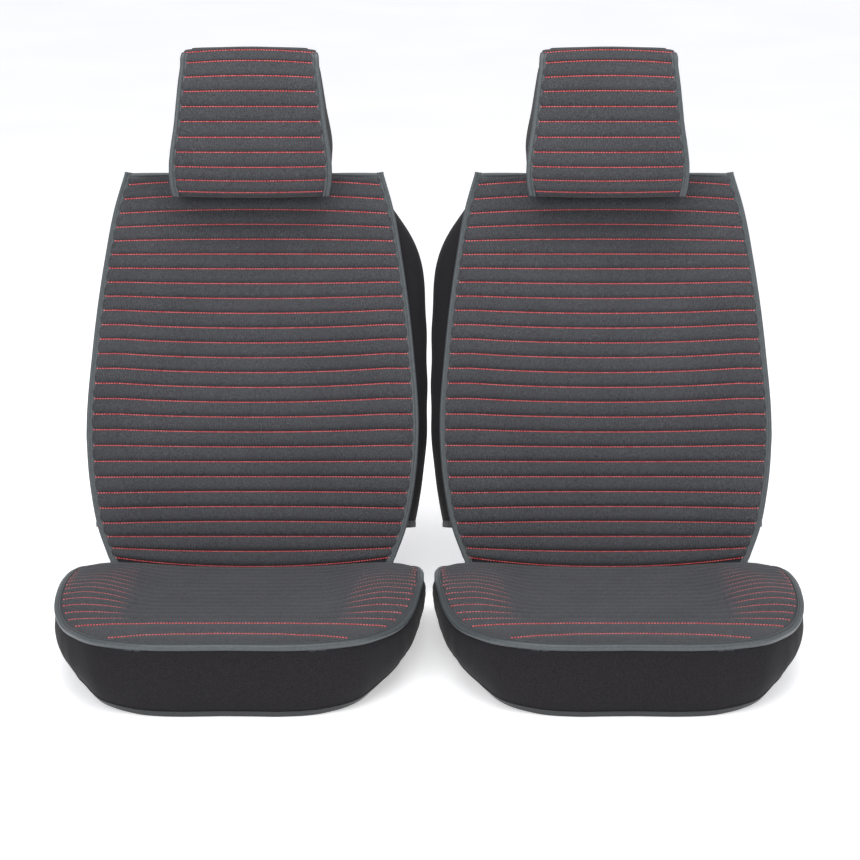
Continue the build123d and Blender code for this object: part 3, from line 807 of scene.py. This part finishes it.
def cushion_face(x, s, lift=0.0, height=None):
    x, y = inside_plan(x, cushion_line(s, x))
    middle = 1 - ease(np.abs(x), 110, 190)
    deep = 1 + 0.45 * middle * ease(s, 1.5, 3)
    puff = curve(1 - (s - np.floor(s)), PUFF_AT, SEAT_PUFF) * deep if height is None else height * deep
    edge = plan_half(y) - np.abs(x)
    puff = puff * ease(edge, 3, 24) ** 0.6 * ease(1 - plan_share(x, y), 0.005, 0.05)
    puff = puff + 0.5 * waves(x, y, 6, 81, 45, 130) * ease(edge, 8, 40)
    return cushion_point(x, y, cushion_top(x, y) - puff - lift)


def seat_pad():
    steps = 1 - PUFF_STEPS[::-1]
    nose = np.array([-0.93, -0.8, -0.6, -0.4, -0.2, -0.05])
    channel = np.concatenate([[0.0], steps[:-1]])
    s = np.concatenate([nose] + [i + channel for i in range(16)] + [[16.0, 16.4, 17.1]])
    u = np.sin(np.linspace(-1, 1, 97) * 1.3) / math.sin(1.3)
    half = plan_half(cushion_line(s, 0 * s)) - 3.0
    x = u[None] * half[:, None]
    front = cushion_face(x, s[:, None])
    x, y = inside_plan(x, cushion_line(s[:, None], x))
    return front, cushion_point(x, y, cushion_top(x, y) + PAD_THICK)


front, behind = seat_pad()
pads = build("cushion_face", slab(front[:, ::-1], behind[:, ::-1]), CLOTH, "cushion_cover", "cushion_pad")

SEAT_UP = np.array([0.0, math.sin(TILT), math.cos(TILT)])
rows = []
for i in range(0, 17):
    half = float(plan_half(CUSHION_LINES[i])) - 9.0
    x = np.linspace(-half, half, 400)
    keep = plan_share(x, cushion_line(np.full(400, float(i)), x)) < 0.965
    x = x[keep]
    sunk = 0.0 if i < 2 else 1.1 * (1 - ease(np.abs(x), 120, 185))
    line = cushion_face(x, np.full(len(x), i + 0.03), 0.1, 0.1 - sunk + 0 * x)
    points, along = spaced(line, STITCH, 0.3 + 0.4 * rng.random())
    rows.append(stitches(points, along, spread(SEAT_UP, points), RED_LONG, RED_THICK))
build("cushion_stitching", joined(rows), RED, "cushion_cover")


def seat_edge(drop):
    """Path round the cushion's edge, from the rear right corner round the nose to the left one."""
    x, y = OUTLINE[::4].T
    lift = cushion_lift(x * 0.985, y)
    return cushion_point(x, y, drop - lift)


def seat_out(path):
    """Outward and level direction along the cushion's edge."""
    along = unit(np.gradient(path, axis=0))
    return unit(np.cross(along, np.array([0, 0, 1.0]))) * -1.0


rear = np.linspace(175, 232, 14)
rear_right = cushion_point(rear, CUSHION_REAR + 0 * rear, 8.5 - cushion_lift(rear, np.full(14, -14.0)))
edge = seat_edge(8.5)
edge = np.concatenate([rear_right, edge[2:-2], (rear_right * np.array([-1.0, 1, 1]))[::-1]])
edge = rounded_path(edge, 6, 4.0)
outwards = seat_out(edge)
upwards = unit(np.cross(outwards, unit(np.gradient(edge, axis=0))))
upwards = upwards * np.sign(upwards[:, 2:3])
lean_out = unit(upwards * 0.93 + outwards * 0.37)
across = unit(outwards * 0.93 - upwards * 0.37)
SEAT_ROLL = ((11.6, 1.6), (11.2, 2.9), (9.4, 3.4), (7.2, 3.2), (6.0, 3.5), (4.8, 4.4), (3.2, 4.9),
             (1.4, 4.6), (0.1, 3.4), (-0.6, 1.4), (-0.6, -1.5), (0.0, -4.5), (1.2, -6.5), (3.0, -7.2),
             (4.4, -6.4), (4.6, -4.0), (4.8, -1.0), (6.0, 0.4), (9.0, 1.2))
SEAT_ROLL = tuple((a * 0.9, b * 0.85) for a, b in SEAT_ROLL)
build("cushion_piping", sweep(edge, -across, lean_out, SEAT_ROLL), PIPING, "cushion_cover",
      "cushion_binding")
points, along = spaced(edge - across * 7.6 + lean_out * 2.9, LOCK_PITCH)
at = np.linspace(0, len(points) - 1, len(edge))
out = np.stack([np.interp(np.arange(len(points)), at, lean_out[:, k]) for k in range(3)], 1)
locks = stitches(points, along, unit(out), LOCK_LONG, LOCK_THICK)
build("cushion_lock_stitches", locks, BLACK, "cushion_cover")


def hem_height(y):
    """Height of the skirt's lower edge: low at the nose, rising to the sides."""
    return curve(y, (-520, -462, -400, -290, -180, 60), (0, 0, 17, 31, 34, 34))


def skirt():
    line = OUTLINE[14:-14:4]
    q = np.linspace(0, 1, 30)
    i, q = np.meshgrid(np.arange(len(line)), q, indexing="ij")
    px, py = line[i, 0], line[i, 1]
    top_y = CUSHION_REAR + (py - CUSHION_REAR) * 0.985
    top = cushion_point(px * 0.985, top_y, 11.0 - cushion_lift(px * 0.97, py))
    shrink = 0.955 - 3 / 279
    foot_x, foot_y = px * shrink, CUSHION_REAR + (py - CUSHION_REAR) * shrink
    foot = np.stack([foot_x, BITE_Y + foot_y, hem_height(foot_y) + 5.0], -1)
    p = top * (1 - q[..., None]) + foot * q[..., None]
    out = unit(np.stack([px, (py - CUSHION_REAR) * 0.75, 0 * px], -1))
    side = ease(np.abs(px), 120, 270)
    belly = (5.0 + 9.0 * side) * np.sin(math.pi * q**1.15) ** 0.8
    fold = waves(i * 5.0, q * 30, 7, 91, 30, 110) * (0.5 + 0.8 * side) * ease(q, 0.05, 0.4)
    return p + out * (belly + fold)[..., None]


p = skirt()
skirts = build("cushion_skirt_cloth", sheet_skin(p[:, ::-1], JERSEY_THICK), JERSEY, "cushion_cover",
               "cushion_skirt")
foot_line = p[:, -1]
outs = unit(seat_out(foot_line))
hem_up = unit(p[:, -2] - p[:, -1])
HEM = ((0.2, -6.2), (1.2, -5.4), (1.9, -4.0), (1.7, -2.6), (1.9, 0.0), (1.9, 2.6), (1.5, 4.2), (0.9, 4.8),
       (0.2, 4.6), (-1.8, 4.4), (-2.4, 2.0), (-2.5, -2.5), (-1.8, -5.4), (-0.8, -6.2))
# The hem piping uses the darker leatherette copy, which is painted shade.
hems = build("cushion_hem_piping", sweep(foot_line, outs, hem_up, HEM), HEM_LEATHERETTE_SHADED, "cushion_cover",
             "cushion_hem")


def liner():
    rows = np.linspace(-18, CUSHION_REAR - 478 * 0.84, 60)
    y, u = np.meshgrid(rows, np.linspace(-1, 1, 61), indexing="ij")
    x = u * np.minimum(plan_half(y) * 0.86, 0.86 * plan_half(CUSHION_REAR + (y - CUSHION_REAR) / 0.86))
    return cushion_point(x, y, cushion_top(x, y) + PAD_THICK + 0.7 + 0.2 * waves(x, y, 4, 95, 40, 90))


liners = build("cushion_grip_cloth", sheet_skin(liner(), 1.2), GRIP, "cushion_cover", "cushion_grip_liner")


def rear_flap():
    side = rounded_path([(-24, 60), (-13, 56), (-11, 26), (-20, 11.2), (-44, 11.2)], 7, 3.0)
    run, x = np.meshgrid(np.arange(len(side)), np.linspace(-205, 205, 80), indexing="ij")
    fold = 1.1 * waves(x, run * 4.0, 6, 97, 30, 110) * ease(run, 1, 8) * (1 - ease(run, 22, 30))
    return np.stack([x, BITE_Y + side[run, 0] + fold, side[run, 1] + 0 * fold], -1)


flaps = build("cushion_rear_cloth", sheet_skin(rear_flap(), PLAIN_THICK), PLAIN, "cushion_cover",
              "cushion_rear_flap")


# Straps and tabs --------------------------------------------------------------------------


def level_strap(start, end):
    """Strap along Y under the cushion, at the inner side."""
    y = np.linspace(start, end, 40)
    path = np.stack([120 + 0 * y, BITE_Y + y, 9.0 + 0.25 * np.sin(y / 17)], -1)
    wide, up = np.array([1.0, 0, 0]), np.array([0, 0, 1.0])
    return ribbon(path, spread(wide, path), spread(up, path))


def mirrored(part):
    verts, faces = part
    return verts * np.array([-1.0, 1, 1]), [list(f)[::-1] for f in faces]


front_strap = level_strap(-446, -296)
build("front_strap_webbing", joined([front_strap, mirrored(front_strap)]), WEBBING, "cushion_cover",
      "cushion_front_straps")
rear_strap = level_strap(-257, -27)
build("rear_strap_webbing_inner", rear_strap, WEBBING, "plug_inner", "cushion_rear_strap_inner")
build("rear_strap_webbing_outer", mirrored(rear_strap), WEBBING, "plug_outer",
      "cushion_rear_strap_outer")


def hook_tab():
    """Loop of webbing round the hook's bar."""
    hook_x, hook_y, hook_z, loop = 248.0, -62.0, 30.0, 3.5
    turn = np.linspace(0, math.pi, 14)
    leg = np.linspace(50, hook_z + 1, 10)
    x = np.concatenate([hook_x + loop + 0 * leg, hook_x + loop * np.cos(turn), hook_x - loop + 0 * leg])
    z = np.concatenate([leg, hook_z - loop * np.sin(turn), leg[::-1]])
    path = np.stack([x, BITE_Y + hook_y + 0 * x, z], -1)
    wide = spread(np.array([0.0, 1.0, 0.0]), path)
    out = unit(np.cross(wide, unit(np.gradient(path, axis=0))))
    return ribbon(path, wide, out, tuple((a * 0.72, b * 0.85) for a, b in FLAT))


tab = hook_tab()
build("hook_tab_webbing", joined([tab, mirrored(tab)]), WEBBING, "cushion_cover", "cushion_hook_tabs")

# Headrest hood ----------------------------------------------------------------------------

HEAD_ROWS = (-8, 14, 120, 200, 226, 236)
HEAD_HALF = (127, 131, 122, 112, 108, 100)
HEAD_NEAR = (5, 0, -2, 1, 11, 24)
HEAD_FAR = (106, 108, 104, 92, 80, 64)
HEAD_CORNER = (16, 16, 16, 15, 14, 12)
HEAD_LINES = np.array([1.0, 20, 42, 66, 90, 115, 139, 164, 188, 212, 229])


def head_line(s, u):
    """Height of quilting line s; the lowest rise to the sides, and the highest fall."""
    v = np.interp(s, np.arange(11), HEAD_LINES)
    v = np.where(s < 0, 1 + s * 9.0, v)
    v = np.where(s > 10, 229 + (s - 10) * 8.0, v)
    return v + 2.6 * u**2 * (1 - ease(v, 10, 90)) - 5.5 * u**2 * ease(v, 120, 229)


def head_face(u, s, height=None):
    """Pad of the headrest: flat front, then round the corners to its side edges."""
    v = head_line(s, u)
    half, near, corner = (curve(v, HEAD_ROWS, k) for k in (HEAD_HALF, HEAD_NEAR, HEAD_CORNER))
    bend = math.radians(62)
    flat = half - corner
    run = u * (flat + corner * bend)
    turn = np.clip(np.abs(run) - flat, 0, None) / corner
    x = np.sign(run) * np.where(turn > 0, flat + corner * np.sin(turn), np.abs(run))
    depth = near + corner * (1 - np.cos(turn))
    puff = curve(s - np.floor(s), PUFF_AT, PUFF) * 0.9 if height is None else height + 0 * v
    edge = (1 - np.abs(u)) * half
    puff = puff * ease(edge, 3, 20) ** 0.6 + 0.35 * waves(x, v, 6, 103, 35, 90)
    puff = puff + 2.0 * (1 - (x / 140) ** 2) * ease(v, 0, 60) * (1 - ease(v, 170, 229))
    base_x = x + np.sign(run) * np.sin(turn) * puff
    return head_point(base_x, v, depth - np.cos(turn) * puff)


curl_rows, top_rows = [-1.0, -0.8, -0.55, -0.3, -0.12], [10.0, 10.1, 10.3, 10.6]
s = np.concatenate([curl_rows] + [i + PUFF_STEPS for i in range(10)] + [top_rows])
u = np.linspace(-1, 1, 91)
s, u = np.meshgrid(s, u, indexing="ij")
curl = ease(-s, 0.0, 1.0) * 7.0
front = head_face(u, s) + (head_point(0, 0, 1.0) - head_point(0, 0, 0)) * curl[..., None]
behind = front - grid_normals(front) * PAD_THICK
pads = build("headrest_face", slab(front, behind), CLOTH, "headrest_hood", "headrest_pad")

rows = []
across = np.linspace(-0.965, 0.965, 240)
for i in range(11):
    line = head_face(across, np.full(240, i - 0.04), 0.0)
    points, along = spaced(line, STITCH, 0.3 + 0.4 * rng.random())
    out = np.stack([points[:, 0] / 137 * ease(np.abs(points[:, 0]), 80, 137) * 0.9,
                    -np.cos(LEAN) + 0 * points[:, 0], math.sin(LEAN) + 0 * points[:, 0]], -1)
    rows.append(stitches(points, along, unit(out), RED_LONG, RED_THICK))
build("headrest_stitching", joined(rows), RED, "headrest_hood")

trims, locks = [], []
v = np.linspace(-6, 224, 100)
half, near, corner = (curve(v, HEAD_ROWS, k) for k in (HEAD_HALF, HEAD_NEAR, HEAD_CORNER))
bend = math.radians(40)
trim_x, trim_depth = half - corner + corner * math.sin(bend) + 0.6, near + corner * (1 - math.cos(bend))
trim_path = head_point(trim_x, v, trim_depth)
side_out = unit(np.stack([math.sin(bend) + 0 * v, -math.cos(bend) + 0 * v, 0 * v], -1))
side_in = np.stack([-math.cos(bend) + 0 * v, -math.sin(bend) + 0 * v, 0 * v], -1)
small_roll = tuple((a - 3.5, b + 0.9 - (a - 3.5) ** 2 / 34) for a, b in ROLL[:12])
small_roll += (-4.0, -8.0), (0.0, -8.0), (5.0, -3.0)
for sign in (1.0, -1.0):
    flip = np.array([sign, 1, 1])
    ruffle = 0.3 * waves(v, 0 * v, 5, 111, 9, 60)[:, None] * side_out
    trims.append(sweep((trim_path + ruffle) * flip, side_in * flip, side_out * flip, small_roll))
    points, along = spaced((trim_path + side_in * 4.8 + side_out * 1.35) * flip, LOCK_PITCH)
    locks.append(stitches(points, along, spread(side_out[0] * flip, points), LOCK_LONG, LOCK_THICK + 0.1))
build("headrest_piping", joined(trims), PIPING, "headrest_hood", "headrest_binding")
build("headrest_lock_stitches", joined(locks), BLACK, "headrest_hood")


def head_ring(v, inset, count=120):
    """Section of the hood at a height, as (x, depth) pairs, drawn in by inset."""
    sizes = (HEAD_HALF, HEAD_NEAR, HEAD_FAR, HEAD_CORNER)
    half, near, far, corner = (float(curve(v, HEAD_ROWS, k)) for k in sizes)
    half, near, far, corner = half - inset, near + inset, far - inset, max(corner - inset, 6.0)
    mids = ((half - corner, near + corner, -90), (half - corner, far - corner, 0),
            (corner - half, far - corner, 90), (corner - half, near + corner, 180))
    ring = []
    for mid_x, mid_d, start in mids:
        turn = np.radians(start + np.linspace(0, 90, 12))
        ring.append(np.stack([mid_x + corner * np.cos(turn), mid_d + corner * np.sin(turn)], 1))
    ring = np.concatenate(ring + [ring[0][:1]])
    length = run_length(ring)
    at = np.linspace(0, length[-1], count, endpoint=False)
    return np.stack([np.interp(at, length, ring[:, 0]), np.interp(at, length, ring[:, 1])], 1)


def hood():
    levels = []
    for level in np.linspace(0, 1, 40):
        nominal = -4 + level * 236
        ring = head_ring(nominal, 3.4)
        front_share = ease(-ring[:, 1], -22, -10)
        x = ring[:, 0] * (1 - 0.03 * front_share)
        d = ring[:, 1] + 8.0 * front_share
        low = -2 + 0.5 * d
        v = low + (228.5 - low) * level
        soft = 1.0 * waves(x * 0.5 + d * 2, v, 6, 121, 40, 130) * ease(v - low, 4, 30)
        levels.append(head_point(x * (1 + soft / 130), v, d + soft * ease(d, 40, 80)))
    centre = head_point(0.0, 233.0, 44.0)
    last = levels[-1]
    for share, rise in ((0.93, 1.0), (0.8, 1.6), (0.6, 2.0), (0.35, 2.2), (0.12, 2.3), (0.02, 2.3)):
        up = (head_point(0, 1.0, 0) - head_point(0, 0, 0)) * rise
        levels.append(centre + (last - centre) * np.array([share, share, 1.0]) + up)
    return np.stack(levels)


p = hood()
hoods = build("headrest_back_cloth", sheet_skin(p, JERSEY_THICK, True), JERSEY, "headrest_hood",
              "headrest_back")
loop = head_ring(0.0, 3.0, 160)
keep = loop[:, 1] > 10.5
start = int(np.argmax(keep & ~np.roll(keep, 1)))
loop = np.roll(loop, -start, 0)[: int(keep.sum())]
hem_path = head_point(loop[:, 0], 1.5 + 0.5 * loop[:, 1], loop[:, 1])
middle = head_point(0.0, 0.0, 54.0)
outs = hem_path - middle
outs[:, 2] = 0
hem_up = spread(unit(head_point(0, 1.0, 0) - head_point(0, 0, 0)), hem_path)
hem_band = build("headrest_hem_band", band(hem_path, unit(outs), hem_up, 0.4, 123),
                 ELASTIC, "headrest_hood", "headrest_hem")

# Hard pieces ------------------------------------------------------------------------------

hard = [s["node"] for s in frame["record"]["subparts"] if any(
    k in s["node"] for k in ("buckle_sockets", "plug_inner", "plug_outer", "hook_inner", "hook_outer"))]
for node in hard:
    piece = bpy.data.objects[node]
    piece.data.materials.clear()
    piece.data.materials.append(PLASTIC)

# Floor, light and camera ------------------------------------------------------------------

floor_material, tree, shader = new_material("pale_floor", (0.86, 0.86, 0.87), 0.7, 0.0, 0.2)
colour = mixed(tree, noise_at(tree, 1.5, 3), 0.3, 0.7, (0.84, 0.84, 0.85), (0.90, 0.90, 0.905))
tree.links.new(colour, shader.inputs["Base Color"])
shader.inputs["Emission Color"].default_value = (1, 1, 1, 1)
shader.inputs["Emission Strength"].default_value = 0.45
floor_mesh = bpy.data.meshes.new("studio_floor")
reach = 30.0
floor_mesh.from_pydata([(x * reach, y * reach, -0.0008) for x, y in ((-1, -1), (1, -1), (1, 1), (-1, 1))],
                       [], [(0, 1, 2, 3)])
floor_mesh.materials.append(floor_material)
floor = bpy.data.objects.new("studio_floor", floor_mesh)
bpy.context.scene.collection.objects.link(floor)

target = Vector((0, (BITE_Y + 75) * MM, 0.271))
elevation = math.radians(16)
camera_data = bpy.data.cameras.new("camera")
camera = bpy.data.objects.new("camera", camera_data)
camera.location = target + Vector((0, -math.cos(elevation), math.sin(elevation))) * 3.6
camera.rotation_euler = (target - camera.location).to_track_quat("-Z", "Y").to_euler()
camera_data.lens = 92.35
camera_data.shift_x = 0.001
camera_data.clip_end = 100
bpy.context.scene.collection.objects.link(camera)
bpy.context.scene.camera = camera


def area_light(name, place, aim, wide, high, power):
    data = bpy.data.lights.new(name, "AREA")
    data.shape = "RECTANGLE"
    data.size, data.size_y, data.energy = wide, high, power
    light = bpy.data.objects.new(name, data)
    light.location = place
    light.rotation_euler = (Vector(aim) - Vector(place)).to_track_quat("-Z", "Y").to_euler()
    bpy.context.scene.collection.objects.link(light)


area_light("overhead_light", (0, -0.6, 2.7), (0, 0.1, 0.3), 2.6, 1.6, 52)
area_light("front_light", (-0.9, -2.8, 1.5), (0, 0.1, 0.4), 1.8, 1.4, 34)
area_light("side_light", (2.4, -1.0, 1.2), (0, 0.1, 0.4), 1.0, 1.6, 11)

world = bpy.data.worlds.new("studio")
world.use_nodes = True
world.node_tree.nodes["Background"].inputs["Color"].default_value = (0.95, 0.96, 1.0, 1)
world.node_tree.nodes["Background"].inputs["Strength"].default_value = 0.62
bpy.context.scene.world = world
bpy.context.scene.view_settings.view_transform = "Standard"
